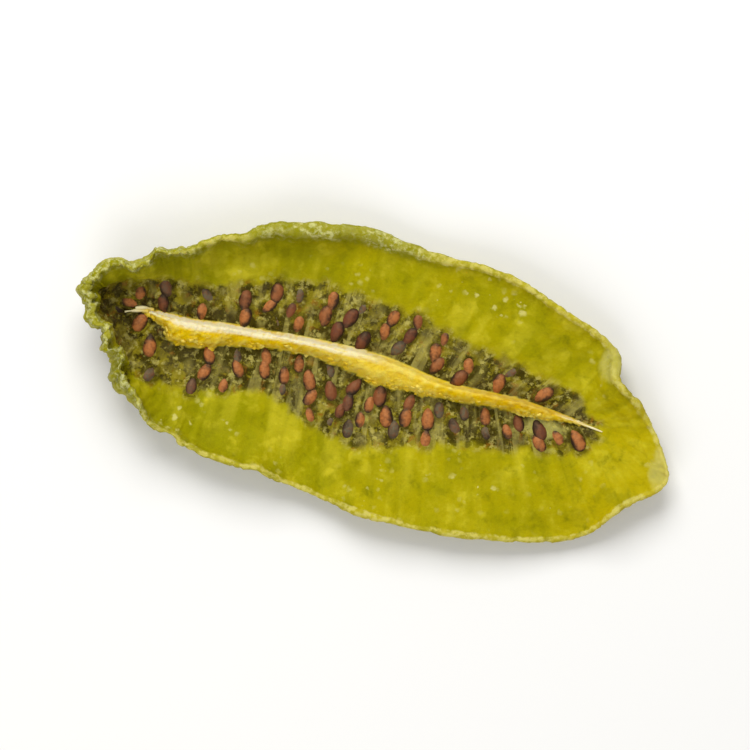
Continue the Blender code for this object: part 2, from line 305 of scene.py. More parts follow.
def seedPlaces():
    draw = random.Random(seedRule["draw"])
    jitter = seedRule["jitter"]
    step = 1e-3
    places = []

    def spot(angle, distance):
        return sheetPoint(angle, distance / rayLength(angle))

    for side, pitch in ((1, seedRule["pitch"]), (-1, seedRule["undersidePitch"])):
        for rank in range(seedRule["ranks"]):
            angle = draw.uniform(0, 0.2)
            while angle < math.tau:
                start = ridgeFoot(angle) + seedRule["firstRank"]
                start += seedRule["pointedGap"] * smooth(0.55, 0.8, math.cos(angle))
                distance = start + rank * seedRule["rankPitch"] + draw.uniform(-jitter, jitter)
                pace = np.linalg.norm(spot(angle + step, distance) - spot(angle, distance)) / step
                size = draw.uniform(*seedRule["sizes"])
                twist = draw.gauss(0, seedRule["twist"])
                pastCore = smooth(0.86, 0.97, -math.cos(angle))
                reach = roundTheRim(form["bandReach"], angle) - seedRule["lastRank"]
                if distance < reach - seedRule["bareEnd"] * pastCore:
                    places.append((angle, distance / rayLength(angle), side, size, twist))
                thinned = 1 + seedRule["thinning"] * smooth(0.3, 0.8, -math.cos(angle))
                thinned += seedRule["farThinning"] * (math.sin(angle) > 0)
                angle += pitch / pace * thinned * draw.uniform(*seedRule["gaps"])
    return places


def seedFrame(angle, share, side, size, twist):
    # where a seed lies, and its long, cross and outward ways
    at, inward, outward = (
        Vector(skinPoints(np.array([angle]), np.array([share + step]), side)[0])
        for step in (0, -0.01, 0.01)
    )
    along = (outward - inward).normalized()
    normal = Vector(sheetNormal(np.array([angle]), np.array([share]))[:, 0]) * side
    across = normal.cross(along).normalized()
    normal = along.cross(across)
    turn = Matrix((along, across, normal)).transposed() @ Matrix.Rotation(twist, 3, "Z")
    return {"at": at, "turn": turn, "side": side, "size": size}


def seedFrames():
    return [seedFrame(*place) for place in seedPlaces()]


def plug(tree, socket, value):  # this and what follows serves materials and geometry alike
    if isinstance(value, bpy.types.NodeSocket):
        tree.links.new(value, socket)
    else:
        socket.default_value = value


def addNode(tree, kind, given, **settings):  # given says what each input gets, by name or number
    node = tree.nodes.new(kind)
    for key, value in settings.items():
        setattr(node, key, value)
    for key, value in given.items():
        plug(tree, node.inputs[key], value)
    return node


def calc(tree, operation, *values, clamp=False):
    return addNode(tree, "ShaderNodeMath", dict(enumerate(values)),
                   operation=operation, use_clamp=clamp).outputs[0]


def times(tree, *values):
    product = values[0]
    for value in values[1:]:
        product = calc(tree, "MULTIPLY", product, value)
    return product


def plus(tree, *values):
    total = values[0]
    for value in values[1:]:
        total = calc(tree, "ADD", total, value)
    return total


def limited(tree, *shares):  # the sum of some shares, kept a little below 1
    return calc(tree, "MINIMUM", plus(tree, *shares), 0.95)


def vectorCalc(tree, operation, *values, output=0):
    return addNode(tree, "ShaderNodeVectorMath", dict(enumerate(values)),
                   operation=operation).outputs[output]


def scaled(tree, vector, factor):
    return addNode(tree, "ShaderNodeVectorMath", {0: vector, "Scale": factor},
                   operation="SCALE").outputs[0]


def cloudy(tree, vector, scale, detail=3.0, roughness=0.5, distortion=0.0, output=0):
    return addNode(tree, "ShaderNodeTexNoise", {
        "Vector": vector, "Scale": scale, "Detail": detail, "Roughness": roughness,
        "Distortion": distortion,
    }).outputs[output]


def ease(tree, value, low, high, lowOut=0.0, highOut=1.0):  # from one range to another
    return addNode(tree, "ShaderNodeMapRange", dict(enumerate((value, low, high, lowOut, highOut))),
                   interpolation_type="SMOOTHSTEP").outputs[0]


def dotted(tree, vector, scale, radius):  # round spots of many sizes, one to a cell at most
    cells = addNode(tree, "ShaderNodeTexVoronoi", {"Vector": vector, "Scale": scale})
    size = calc(tree, "MULTIPLY", cells.outputs["Color"], radius)
    return ease(tree, calc(tree, "DIVIDE", cells.outputs["Distance"], size), 1.2, 0.5)


def creased(tree, vector, scale, width, detail=2.0):
    # 1 along the winding lines where a noise is at its middle
    off = calc(tree, "ABSOLUTE", calc(tree, "SUBTRACT", cloudy(tree, vector, scale, detail), 0.5))
    return ease(tree, off, 0.0, width, 1.0, 0.0)


def pull(tree, place, scale):  # a soft noise with a direction, from about -0.5 to 0.5 each way
    colour = cloudy(tree, place, scale, detail=2.0, output=1)
    return vectorCalc(tree, "SUBTRACT", colour, (0.5, 0.5, 0.5))


def wobbled(tree, place, scale, amount):  # the same places, shifted about
    return vectorCalc(tree, "ADD", place, scaled(tree, pull(tree, place, scale), amount))


def patched(tree, place, patches):  # 1 within any of the oval patches, easing off at their edges
    total = 0.0
    for x, y, radiusX, radiusY in patches:
        off = vectorCalc(tree, "SUBTRACT", place, (x, y, 0.0))
        off = vectorCalc(tree, "MULTIPLY", off, (1 / radiusX, 1 / radiusY, 0.0))
        square = vectorCalc(tree, "DOT_PRODUCT", off, off, output="Value")
        total = calc(tree, "MAXIMUM", total, ease(tree, square, 1.8, 0.5))
    return total


def mixColour(tree, share, first, second):
    return addNode(tree, "ShaderNodeMix", {0: share, 6: first, 7: second},
                   data_type="RGBA").outputs[2]


def paint(red, green, blue):  # a colour as seen on a screen, 0 to 255, turned to linear light
    def linear(part):
        part = part / 255
        return part / 12.92 if part <= 0.04045 else ((part + 0.055) / 1.055) ** 2.4
    return (linear(red), linear(green), linear(blue), 1.0)


def paints(table):
    return {key: paint(*colour) for key, colour in table.items()}


def newMaterial(name):
    material = bpy.data.materials.new(name)
    material.use_nodes = True
    tree = material.node_tree
    return material, tree, tree.nodes["Principled BSDF"]


def setLook(tree, shader, look, colour, normal):  # the inputs that every finish has
    plug(tree, shader.inputs["Base Color"], colour)
    plug(tree, shader.inputs["Normal"], normal)
    for name, socket in (("roughness", "Roughness"), ("specular", "Specular IOR Level"),
                         ("specularTint", "Specular Tint"), ("subsurface", "Subsurface Weight"),
                         ("subsurfaceRadius", "Subsurface Radius")):
        if name in look:
            shader.inputs[socket].default_value = look[name]
    if "subsurface" in look:
        shader.inputs["Subsurface Scale"].default_value = 1.0


def attributeOf(tree, name, output="Fac"):
    return addNode(tree, "ShaderNodeAttribute", {}, attribute_name=name).outputs[output]


def bumped(tree, height, distance, strength=1.0, under=None):
    given = {"Height": height, "Distance": distance, "Strength": strength}
    if under:
        given["Normal"] = under
    return addNode(tree, "ShaderNodeBump", given).outputs[0]


def objectPlace(tree):  # the piece's own coordinates, in mm
    return scaled(tree, tree.nodes.new("ShaderNodeTexCoord").outputs["Object"], 1 / mm)


def meshPlace(tree):  # the same in a geometry tree
    return scaled(tree, tree.nodes.new("GeometryNodeInputPosition").outputs[0], 1 / mm)


def partsOf(tree, vector):
    return addNode(tree, "ShaderNodeSeparateXYZ", {0: vector}).outputs


def joined(tree, *parts):
    return addNode(tree, "ShaderNodeCombineXYZ", dict(enumerate(parts))).outputs[0]


def newTree(name, inputs):  # a geometry tree with a geometry input and named inputs
    tree = bpy.data.node_groups.new(name, "GeometryNodeTree")
    tree.is_modifier = True
    tree.interface.new_socket("Geometry", in_out="INPUT", socket_type="NodeSocketGeometry")
    for label, kind in inputs:
        tree.interface.new_socket(label, in_out="INPUT", socket_type="NodeSocket" + kind)
    tree.interface.new_socket("Geometry", in_out="OUTPUT", socket_type="NodeSocketGeometry")
    given = tree.nodes.new("NodeGroupInput").outputs
    return tree, given, tree.nodes.new("NodeGroupOutput")


def readAttribute(tree, name, kind="FLOAT"):
    node = addNode(tree, "GeometryNodeInputNamedAttribute", {"Name": name}, data_type=kind)
    return next(socket for socket in node.outputs if socket.enabled and socket.name == "Attribute")


def keepAttribute(tree, geometry, name, value):  # stores a number for the material to read
    return addNode(tree, "GeometryNodeStoreNamedAttribute",
                   {"Name": name, "Geometry": geometry, "Value": value}).outputs[0]


def moved(tree, geometry, value, kind="Offset"):
    return addNode(tree, "GeometryNodeSetPosition", {"Geometry": geometry, kind: value}).outputs[0]


def smoothed(tree, geometry):
    return addNode(tree, "GeometryNodeSetShadeSmooth", {0: geometry}).outputs[0]


def ball(tree, given):  # one metre across, with the tree's own Segments and Rings
    return addNode(tree, "GeometryNodeMeshUVSphere", {
        "Radius": 0.5, "Segments": given["Segments"], "Rings": given["Rings"],
    }).outputs["Mesh"]


def closeTree(tree, geometry, material, output):
    realized = addNode(tree, "GeometryNodeRealizeInstances", {0: geometry}).outputs[0]
    finished = addNode(tree, "GeometryNodeSetMaterial",
                       {"Geometry": realized, "Material": material})
    tree.links.new(finished.outputs[0], output.inputs[0])


def addLayer(mesh, name, values, kind="FLOAT", part="value"):  # one value for each corner
    layer = mesh.attributes.new(name, kind, "POINT")
    layer.data.foreach_set(part, np.array(values, np.float32).ravel())


def addObject(name, mesh):
    obj = bpy.data.objects.new(name, mesh)
    bpy.context.scene.collection.objects.link(obj)
    return obj


def runTree(obj, tree, values):
    # sets the inputs, reads the result as a plain mesh and drops the modifier
    modifier = obj.modifiers.new(tree.name, "NODES")
    modifier.node_group = tree
    for item in tree.interface.items_tree:
        if item.in_out == "INPUT" and item.name in values:
            modifier[item.identifier] = values[item.name]
    graph = bpy.context.evaluated_depsgraph_get()
    mesh = bpy.data.meshes.new_from_object(obj.evaluated_get(graph))
    mesh.name = obj.name
    obj.modifiers.clear()
    obj.data = mesh
    return obj


sliceMesh = {
    "rays": 640,
    "crowding": 0.25,  # draws the rays towards both ends
    "rings": 60,
    "ringSpread": 1.15,
    "lipTurns": tuple(range(-75, 76, 15)),
}

bandRule = {  # the relief of the seed band: heights in mm, distances in seed radii from a seed
    "edgeShift": 0.15,
    "edgeWander": ((1.6, 0.6, 9.0), (0.7, 0.4, 5.0)),  # pitch, depth and shift of a noise
    "edgeFade": (0.7, 0.3),
    "pointedEnd": (0.985, 0.94),  # no band round the very tip of the core
    "collar": (1.75, 1.15),  # the gel swells a little round each seed
    "collarHeight": 0.10,
    "pocket": (1.1, 1.6),
    "pocketDepth": 0.14,
    "pitDepth": 0.30,  # deeper pockets at the gathered end
    "wallWidth": 0.8,  # walls between the pockets
    "wallHeight": 0.10,
    "ghost": (1.35, 0.55),  # seeds that lie under the gel
    "ghostHeight": 0.07,
    "socket": (1.55, 1.02),  # painted shadow in the gel at a seed's edge
    "undersideShare": 0.5,
}

relief = {  # depths in mm, given to the relief tree
    "Rim Crinkle": 0.24,
    "Crease Depth": 0.13,
    "Rib Depth": 0.12,
    "Swell Depth": 0.30,
    "Leather Depth": 0.07,
    "Fibre Depth": 0.09,
    "Crumple Depth": 0.22,
    "Grain Depth": 0.18,
    "Gel Depth": 0.16,
}

reliefPitch = {  # how close each noise of the relief is
    "crinkle": 1.25,
    "fineCrinkle": 2.6,
    "crease": 0.55,
    "wideCrease": 0.5,
    "rib": 0.40,
    "swell": 0.26,
    "leather": 2.4,
    "gel": 1.7,
    "fibre": 0.9,
    "crumple": 1.3,
    "lumps": 3.0,
}

fleshPaint = {
    "green": (142, 138, 2),
    "olive": (164, 152, 2),
    "tip": (176, 158, 2),
    # darker mottles, and the painted shade in furrows and creases
    "deep": (122, 118, 2),
    "pale": (192, 180, 38),
    # pale specks, partly sugar and partly painted glints
    "speck": (212, 204, 124),
    "palePatch": (192, 184, 100),
    "hollowShade": (46, 32, 18),  # painted shadow in the hollows at the gathered end
    "rim": (196, 186, 96),
    "frost": (206, 206, 146),
    "frostGreen": (132, 130, 6),
}

gelPaint = {
    "gel": (130, 117, 26),
    "dark": (42, 30, 10),
    "rust": (134, 78, 20),
    "pale": (180, 168, 92),
    "ghost": (64, 52, 38),
    "socket": (44, 28, 16),
# the painted shadow round each seed
}

corePaint = {
    "gold": (234, 196, 6),
    "pale": (238, 212, 88),
    "deep": (196, 146, 4),
    # the painted shade of the core
    "cream": (240, 226, 184),
}

# oval patches on the finished slice, each given as x, y and two radii in mm
patches = {
    # painted shadow in the hollows at the gathered end
    "hollowShade": ((-26.4, 0.3, 0.8, 1.2), (-24.2, -0.6, 1.4, 0.6), (-22.4, 1.4, 1.8, 0.6),
             (-18.9, 1.5, 1.4, 0.5), (-22.8, -5.8, 0.8, 0.7), (-25.8, -3.0, 0.9, 0.8)),
    "shade": ((-11.5, -2.4, 6.5, 2.6), (11.5, -3.0, 4.5, 1.5)),  # darker gel on the near side
    "pale": ((16.6, -0.9, 1.8, 0.9), (21.4, 6.6, 1.0, 1.6), (28.3, -1.7, 1.0, 1.9)),
    "frost": ((-1.9, 12.6, 2.2, 0.9), (2.8, 12.2, 2.8, 0.6), (-9.0, 11.8, 2.0, 0.7)),
    "specks": ((10.4, 9.4, 1.9, 1.0), (7.0, 10.4, 1.2, 0.9), (11.4, -8.0, 2.2, 1.0),
               (-17.0, -8.6, 1.8, 1.1), (-13.6, -8.4, 2.2, 0.6)),
}

fleshLook = {
    "roughnessRange": (0.42, 0.60),
    "gelRoughness": 0.22,
    "coreRoughness": 0.62,
    "specular": 0.22,
    "specularTint": (1.0, 0.93, 0.10, 1.0),
    "subsurface": 0.30,
    "subsurfaceRadius": (0.0014, 0.0011, 0.00025),
    "skinGrain": (4.5, 0.00009),  # how close a bump's noise is, and its depth in metres
    "gelGrain": (2.6, 0.0003),
    "iceDepth": 0.0002,
    "coreGrain": (5.0, 0.00018),
}

fleshPattern = {  # how close each noise of the colours is
    "cloud": 0.22,
    "specksHere": 0.30,
    "blotch": 0.42,
    "streaks": 0.45,
    "crust": 0.5,
    "coreFoot": 0.5,
    "mottle": 0.62,
    "gel": 0.85,
    "rust": 0.9,
    "strands": 0.9,
    "sockets": 1.0,
    "specks": 1.1,
    "gloss": 1.1,
    "glints": 1.5,
    "bead": 1.6,
    "hollowShade": 1.6,
    "ice": 1.9,
}

fleshShare = {  # how much of each colour is laid over the others, at most
    "tip": 0.8,
    "paleRidge": 0.45,
    "paleStreak": 0.18,
    "paleMottle": 0.35,
    "paleBlotch": 0.52,
    "deepFurrow": 0.3,
    "deepMottle": 0.55,
    "deepBlotch": 0.44,
    "deepCrease": 0.15,
    "deepFold": 0.12,
    "specks": 0.7,
    "band": 0.94,
    "rust": 0.7,
    "glint": 0.8,
    "strand": 0.6,
    "wall": 0.4,
    "ghost": 0.5,
    "socket": 0.8,
    "palePatch": 0.6,
    "hollowShade": 0.8,
    "frost": 0.7,
}


def streakVector(angle, distance):  # a place for patterns that run along the rays, with no seam
    around = np.linspace(0, math.tau, 2001)
    x, y = rimPlan(around)
    gone = np.concatenate([[0], np.cumsum(np.hypot(np.diff(x), np.diff(y)))])
    turn = np.interp(angle % math.tau, around, gone / gone[-1] * math.tau)
    radius = gone[-1] / math.tau
    return np.stack([radius * np.cos(turn), radius * np.sin(turn), 0.13 * distance], axis=-1)


def nearSeeds(points, seeds):  # distance to the nearest seed and the next one, in seed radii
    nearest = np.full(len(points), 9.0)
    second = np.full(len(points), 9.0)
    for seed in seeds:
        flat = (points - np.array(seed["at"])) @ np.array(seed["turn"])
        long, wide = (seedRule[key] / 2 * seed["size"] for key in ("length", "width"))
        radii = np.array((long, wide, 1.2))
        far = np.linalg.norm(flat / radii, axis=1)
        second = np.minimum(second, np.maximum(nearest, far))
        nearest = np.minimum(nearest, far)
    return nearest, second


def sliceRows():
    # every ring of the slice: the underside outwards, round the rim, and the top inwards
    even = np.arange(sliceMesh["rays"]) / sliceMesh["rays"] * math.tau
    angles = even + sliceMesh["crowding"] * np.sin(even)
    rings = sliceMesh["rings"]
    shares = [(k / rings) ** sliceMesh["ringSpread"] for k in range(rings + 1)]
    foot, length = raggedFoot(angles), rayLength(angles)
    band = roundTheRim(form["bandReach"], angles)
    rimPace = np.hypot(*np.gradient(np.array(rimPlan(angles)), axis=1))
    rows = []
    for side, order in ((-1, shares), (0, sliceMesh["lipTurns"]), (1, shares[::-1])):
        for value in order:
            share = np.full(len(angles), value if side else 1.0)
            if side:
                points = skinPoints(angles, share, side)
            else:
                points = lipPoints(angles, math.radians(value))
            pace = np.hypot(*np.gradient(sheetPoint(angles, share)[:2], axis=1))
            hiddenLip = 0.5 * (side < 0 or (side == 0 and value < -30))
            rows.append({"points": points, "share": share, "side": side, "angles": angles,
                         "distance": share * length, "foot": foot, "band": band,
                         "length": length, "spread": pace / rimPace,
                         "edge": (1 - share) * length + hiddenLip})
    return rows


def bandRelief(row, seeds, ghosts):  # pockets, walls and collars of the seed band
    rule = bandRule
    points, distance, foot, reach = row["points"], row["distance"], row["foot"], row["band"]
    nearest, second = nearSeeds(points, [seed for seed in seeds if seed["side"] == row["side"]])
    ghost, _ = nearSeeds(points, [seed for seed in ghosts if seed["side"] == row["side"]])
    edge = reach + rule["edgeShift"]
    for pitch, depth, shift in rule["edgeWander"]:
        edge = edge + depth * grain(points, pitch, shift)
    inner, outer = rule["edgeFade"]
    band = 1 - smooth(edge - inner, edge + outer, distance)
    roundSeeds = smooth(1.9, 1.2, nearest) * smooth(reach + 1.2, reach + 0.2, distance)
    band = np.maximum(band, 0.8 * roundSeeds)
    band = band * smooth(foot * 0.92, foot * 1.06, distance)
    band = band * smooth(*rule["pointedEnd"], np.cos(row["angles"]))
    collar = smooth(*rule["collar"], nearest)
    broken = smooth(-0.35, 0.25, grain(points, 1.1, 4.0))
    wall = smooth(rule["wallWidth"], 0.0, second - nearest)
    wall = wall * smooth(1.15, 1.5, nearest) * smooth(3.6, 2.2, nearest) * broken
    pocket = smooth(*rule["pocket"], nearest) * (1 - wall)
    gathered = smooth(0.80, 0.98, -np.cos(row["angles"]))
    ghost = smooth(*rule["ghost"], ghost) * smooth(1.2, 1.5, nearest)
    lift = (rule["collarHeight"] * collar + rule["wallHeight"] * wall
            - (rule["pocketDepth"] + rule["pitDepth"] * gathered) * pocket
            + rule["ghostHeight"] * ghost) * band
    if row["side"] < 0:
        lift = lift * rule["undersideShare"]
    # where the painted shadow round each seed lies
    socket = smooth(*rule["socket"], nearest) * band
    return lift, {"band": band, "wall": wall * band, "socket": socket, "ghost": ghost * band}


def sliceFields(row):  # masks from 0 to 1 that the material and the relief read
    side, distance, angles = row["side"], row["distance"], row["angles"]
    t = distance / row["foot"]
    towardsFold = -np.cos(angles)
    left = row["length"] - distance
    far = np.sin(angles) > 0
    x, _ = corePlan(angles)
    none, whole = np.zeros(len(angles)), np.ones(len(angles))
    core = (1 - smooth(0.94, 1.06, t)) * smooth(0.0, 0.12, coreFade(angles)) * abs(side)

    # the crest is cream from the torn end to the middle, and again at the pointed tip: cream tissue
    # with a painted highlight along its lit edge
    lit = 0.08 + 0.92 * (1 - smooth(-4.5, 1.5, x)) + 0.6 * smooth(16.5, 18.5, x)
    width = 0.30 - 0.14 * smooth(-6.0, 2.0, x)
    crest = np.where(far, 1 - smooth(0.70, 1.0, t), 1 - smooth(0.4 * width, width, t)) * lit
    turnedRim = smooth(0.42, 0.70, roundTheRim(form["rimHalf"], angles)) * smooth(1.1, 0.3, left)
    gatheredRim = smooth(0.55, 0.85, towardsFold) * smooth(1.0, 0.3, left)
    stripe = smooth(row["band"] - 0.5, row["band"] + 0.8, distance)
    return {
        "core": core,
        "crest": crest * core,
        "slope": np.clip(t, 0, 1) * core * ~far,
        "edge": row["edge"],
        "spread": smooth(0.30, 0.80, row["spread"]),
        "beside": smooth(1.7, 0.2, distance - row["foot"]),
        "frost": np.maximum(turnedRim, gatheredRim),
        "rimZone": smooth(0.72, 1.0, row["share"]) if side else whole,
        "gather": smooth(0.35, 0.98, towardsFold),
        "stripe": stripe * (1 - smooth(row["band"] + 2.0, row["band"] + 5.5, distance)),
        "under": whole * (side < 0),
        "band": none, "wall": none, "socket": none, "ghost": none,
    }


def sliceObject(seeds, ghosts):
    rows = sliceRows()
    rayCount = sliceMesh["rays"]
    points, streaks, index, fields, count = [], [], [], {}, 0
    for k, row in enumerate(rows):
        values = sliceFields(row)
        placed = row["points"]
        if row["side"]:
            lift, inBand = bandRelief(row, seeds, ghosts)
            values.update(inBand)
            normal = sheetNormal(row["angles"], row["share"]).T * row["side"]
            placed = placed + normal * lift[:, None]
        own = np.arange(rayCount)
        if k in (0, len(rows) - 1):
            # both ends of the sheet close along the core, where ray i meets ray -i
            own = np.minimum(own, rayCount - own)
        keep = np.unique(own)
        index.append(count + own)
        count += len(keep)
        points.append(placed[keep])
        streaks.append(streakVector(row["angles"], row["distance"])[keep])
        for key, value in values.items():
            fields.setdefault(key, []).append(value[keep])

    faces = [np.stack([np.roll(inner, 1), inner, outer, np.roll(outer, 1)], axis=-1)
             for inner, outer in zip(index, index[1:])]
    mesh = bpy.data.meshes.new("driedSlice")
    mesh.from_pydata(np.concatenate(points) * mm, [], np.concatenate(faces).tolist())
    for key, value in fields.items():
        addLayer(mesh, key, np.concatenate(value))
    addLayer(mesh, "streak", np.concatenate(streaks), "FLOAT_VECTOR", "vector")
    mesh.shade_smooth()
    return addObject("driedSlice", mesh)


def reliefTree(material):  # crinkled rim, creases and ribs in the flesh, fibres in the core
    tree, depth, output = newTree("driedRelief", [(name, "Float") for name in relief])
    pitch = reliefPitch
    place = meshPlace(tree)
    streak = readAttribute(tree, "streak", "FLOAT_VECTOR")
    rimZone, core, band, gather, stripe, under, crest, spread = (
        readAttribute(tree, name) for name in
        ("rimZone", "core", "band", "gather", "stripe", "under", "crest", "spread"))

    def centred(vector, scale, detail=3.0):
        return calc(tree, "SUBTRACT", cloudy(tree, vector, scale, detail), 0.5)

    plain = calc(tree, "SUBTRACT", 1.0, calc(tree, "MAXIMUM", core, band))
    crinkle = plus(tree, centred(place, pitch["crinkle"]),
                   times(tree, centred(place, pitch["fineCrinkle"]), 0.7))
    crinkleHere = times(tree, rimZone, plus(tree, 0.25, times(tree, gather, gather, 1.1)))
    crease = plus(tree, times(tree, creased(tree, streak, pitch["crease"], 0.05), spread),
                  times(tree, creased(tree, place, pitch["wideCrease"], 0.03), 0.6))
    creaseHere = plus(tree, 0.15, times(tree, rimZone, 0.5), times(tree, gather, 0.7))
    rib = times(tree, centred(streak, pitch["rib"], 2.0), spread)
    ribHere = plus(tree, 0.45, times(tree, stripe, 0.9))
    along = vectorCalc(tree, "MULTIPLY", place, (0.35, 2.4, 2.4))
    fibre = centred(along, pitch["fibre"])
    crumple = centred(place, pitch["crumple"])
    lumps = centred(place, pitch["lumps"])
    fibreHere = plus(tree, 0.3, times(tree, crest, 0.7))
    topCore = times(tree, core, calc(tree, "SUBTRACT", 1.0, times(tree, under, 0.6)))
    gelHere = times(tree, band, plus(tree, 0.6, times(tree, gather, 0.6)))

    offset = plus(
        tree,
        times(tree, crinkle, depth["Rim Crinkle"], crinkleHere),
        times(tree, crease, depth["Crease Depth"], creaseHere, plain, -0.5),
        times(tree, rib, depth["Rib Depth"], ribHere, plain),
        times(tree, centred(place, pitch["swell"], 1.0), depth["Swell Depth"], plain),
        times(tree, centred(place, pitch["leather"]), depth["Leather Depth"]),
        times(tree, centred(place, pitch["gel"]), depth["Gel Depth"], gelHere),
        times(tree, fibre, depth["Fibre Depth"], fibreHere, topCore),
        times(tree, crumple, depth["Crumple Depth"], topCore),
        times(tree, lumps, depth["Grain Depth"], topCore),
    )
    normal = tree.nodes.new("GeometryNodeInputNormal").outputs[0]
    geometry = depth["Geometry"]
    for name, value in (("crease", crease), ("rib", rib), ("fibre", fibre),
                        ("crumple", crumple), ("lumps", lumps)):
        geometry = keepAttribute(tree, geometry, name, value)
    geometry = moved(tree, geometry, scaled(tree, normal, times(tree, offset, 2.0)))
    closeTree(tree, geometry, material, output)
    return tree


def fleshColour(tree, place, mask):
    # greener at the gathered end, yellower towards the point, softly mottled
    tone, scale, share = paints(fleshPaint), fleshPattern, fleshShare
    x = partsOf(tree, place)[0]
    streak = attributeOf(tree, "streak", "Vector")
    cloud = cloudy(tree, place, scale["cloud"], 4.0, 0.6)
    yellow = plus(tree, ease(tree, x, -24.0, 8.0, -0.2, 0.3),
                  ease(tree, cloud, 0.3, 0.7, 0.0, 0.8))
    yellow = calc(tree, "ADD", yellow, 0.0, clamp=True)
    colour = mixColour(tree, yellow, tone["green"], tone["olive"])
    colour = mixColour(tree, ease(tree, x, 14.0, 27.0, 0.0, share["tip"]), colour, tone["tip"])

    mottle = cloudy(tree, place, scale["mottle"], 5.0, 0.68)
    blotch = cloudy(tree, wobbled(tree, place, 0.8, 0.8), scale["blotch"], 3.0, 0.6)
    soft = cloudy(tree, streak, scale["streaks"], 4.0, 0.6, 0.5)
    soft = times(tree, ease(tree, soft, 0.5, 0.7), mask["spread"])
    # pale on the raised ribs: the locule tone with a painted highlight on the rib tops
    loculeAndRibHighlight = times(tree, ease(tree, mask["rib"], 0.0, 0.12), mask["stripe"])
    pale = limited(
        tree, times(tree, loculeAndRibHighlight, share["paleRidge"]), times(tree, soft, share["paleStreak"]),
        ease(tree, mottle, 0.52, 0.70, 0.0, share["paleMottle"]),
        ease(tree, blotch, 0.54, 0.68, 0.0, share["paleBlotch"]))
    colour = mixColour(tree, pale, colour, tone["pale"])
    # painted shade in the furrows between the ribs and along the creases, with random darker
    # mottles and darker towards the gathered end
    furrow = times(tree, ease(tree, mask["rib"], -0.02, -0.14), mask["stripe"])
    deep = limited(
        tree, times(tree, furrow, share["deepFurrow"]),
        ease(tree, mottle, 0.48, 0.28, 0.0, share["deepMottle"]),
        ease(tree, blotch, 0.46, 0.32, 0.0, share["deepBlotch"]),
        times(tree, mask["crease"], share["deepCrease"]),
        times(tree, mask["gather"], share["deepFold"]))
    colour = mixColour(tree, deep, colour, tone["deep"])

    # pale specks: sugar specks together with painted glints
    here = ease(tree, cloudy(tree, place, scale["specksHere"], 2.0), 0.52, 0.68, 0.0, 0.5)
    here = plus(tree, here, patched(tree, wobbled(tree, place, 0.6, 1.2), patches["specks"]))
    specks = dotted(tree, wobbled(tree, place, 2.2, 0.5), scale["specks"], 0.5)
    specks = times(tree, limited(tree, times(tree, specks, here)), share["specks"])
    return mixColour(tree, specks, colour, tone["speck"])


def gelColour(tree, place, mask):  # clear gel over a dark ground, darker beside the core's foot, with painted shadow round each seed, pale where it catches the light
    tone, scale, share = paints(gelPaint), fleshPattern, fleshShare
    streak = attributeOf(tree, "streak", "Vector")
    deep = cloudy(tree, wobbled(tree, place, 1.5, 0.5), scale["gel"], 4.0, 0.68)
    deep = calc(tree, "SUBTRACT", deep, times(tree, mask["beside"], 0.12))
    deep = plus(tree, deep, ease(tree, mask["band"], 0.9, 0.3, 0.0, 0.15), -0.012)
    atFold = times(tree, *[mask["gather"]] * 4)
    deep = plus(tree, deep, times(tree, patched(tree, place, patches["shade"]), -0.09),
                times(tree, atFold, 0.04))
    gel = mixColour(tree, ease(tree, deep, 0.42, 0.54), tone["dark"], tone["gel"])
    rust = cloudy(tree, place, scale["rust"], 3.0, 0.6)
    gel = mixColour(tree, ease(tree, rust, 0.58, 0.68, 0.0, share["rust"]), gel, tone["rust"])

    glint = cloudy(tree, place, scale["glints"], 4.0, 0.62)
    glint = ease(tree, glint, 0.51, 0.63, 0.0, share["glint"])
    strand = cloudy(tree, streak, scale["strands"], 3.0, 0.55)
    strand = times(tree, ease(tree, strand, 0.53, 0.62, 0.0, share["strand"]), mask["spread"],
                   ease(tree, mask["gather"], 0.0, 0.6, 1.0, 0.0))
    pale = calc(tree, "MAXIMUM", calc(tree, "MAXIMUM", glint, strand),
                times(tree, mask["wall"], share["wall"]))
    gel = mixColour(tree, pale, gel, tone["pale"])
    gel = mixColour(tree, times(tree, mask["ghost"], share["ghost"]), gel, tone["ghost"])
    # painted shadow round each seed, broken up by noise
    ragged = ease(tree, cloudy(tree, place, scale["sockets"], 3.0, 0.6), 0.38, 0.58, 0.15, 1.0)
    socket = times(tree, mask["socket"], ragged, share["socket"])
    return mixColour(tree, socket, gel, tone["socket"])


